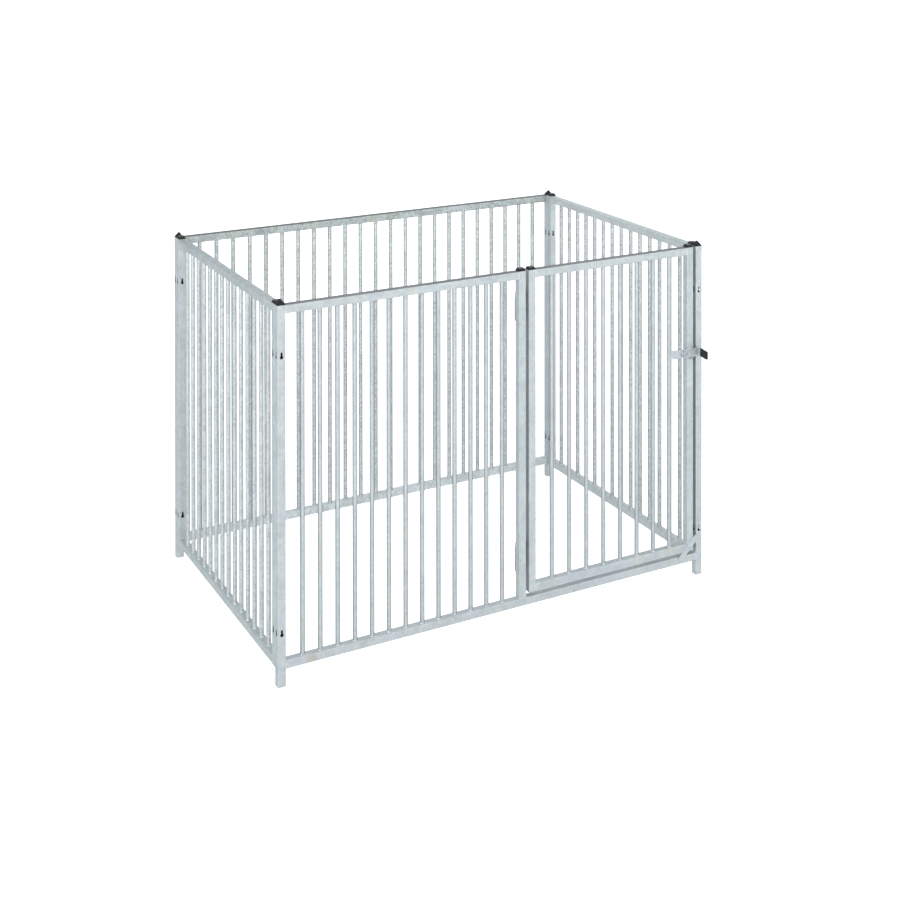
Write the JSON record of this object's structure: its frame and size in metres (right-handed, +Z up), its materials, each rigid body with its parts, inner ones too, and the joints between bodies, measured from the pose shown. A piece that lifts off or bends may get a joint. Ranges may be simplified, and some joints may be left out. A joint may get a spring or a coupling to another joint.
{
  "type": "kennel cage",
  "caption": "Open-topped rectangular kennel pen of square-tube panels with round upright bars, a barred front door on pintle hinges and a lift lever latch.",
  "frame": {"origin": "middle of the overall bounding box at floor level", "axes": "+X along the front towards the latch side, +Y from the front panel to the back panel, +Z up"},
  "size_m": [1.5, 1.0606, 1.1168],
  "materials": {
    "galvanised_steel": "matt hot-dip galvanised, light grey with a faint spangle",
    "zinc_hardware": "zinc-plated, slightly darker than the frames",
    "black_plastic": "matt moulded"
  },
  "bodies": {
    "pen_frame": {"front_left_post": "galvanised_steel", "front_hinge_post": "galvanised_steel", "front_right_post": "galvanised_steel", "front_top_rail": "galvanised_steel", "front_bottom_rail": "galvanised_steel", "front_bars": "galvanised_steel", "front_post_caps": "black_plastic", "door_stop_brace": "galvanised_steel", "hinge_barrels": "zinc_hardware", "back_left_post": "galvanised_steel", "back_right_post": "galvanised_steel", "back_top_rail": "galvanised_steel", "back_bottom_rail": "galvanised_steel", "back_bars": "galvanised_steel", "back_post_caps": "black_plastic", "left_front_stile": "galvanised_steel", "left_rear_stile": "galvanised_steel", "left_top_rail": "galvanised_steel", "left_bottom_rail": "galvanised_steel", "left_bars": "galvanised_steel", "left_stile_caps": "black_plastic", "right_front_stile": "galvanised_steel", "right_rear_stile": "galvanised_steel", "right_top_rail": "galvanised_steel", "right_bottom_rail": "galvanised_steel", "right_bars": "galvanised_steel", "right_stile_caps": "black_plastic", "panel_hooks": "zinc_hardware"},
    "door": {"door_hinge_stile": "galvanised_steel", "door_latch_stile": "galvanised_steel", "door_top_rail": "galvanised_steel", "door_bottom_rail": "galvanised_steel", "door_bars": "galvanised_steel", "door_caps": "black_plastic", "hinge_pintles": "zinc_hardware", "latch_base_plate": "galvanised_steel", "latch_bolt": "zinc_hardware", "latch_washer": "zinc_hardware", "latch_nut": "zinc_hardware", "latch_rest_stud": "zinc_hardware"},
    "latch": {"latch_lever": "galvanised_steel", "latch_grip": "black_plastic"}
  },
  "joints": [
    {"name": "door_swing", "type": "hinge", "parent": "pen_frame", "child": "door", "pos_m": [0.0585, -0.43672, 0.55], "axis": [0, 0, 1], "range_deg": [0, 165]},
    {"name": "latch_lift", "type": "hinge", "parent": "door", "child": "latch", "pos_m": [0.675, -0.47502, 0.75], "axis": [0, -1, 0], "range_deg": [0, 90]}
  ]
}
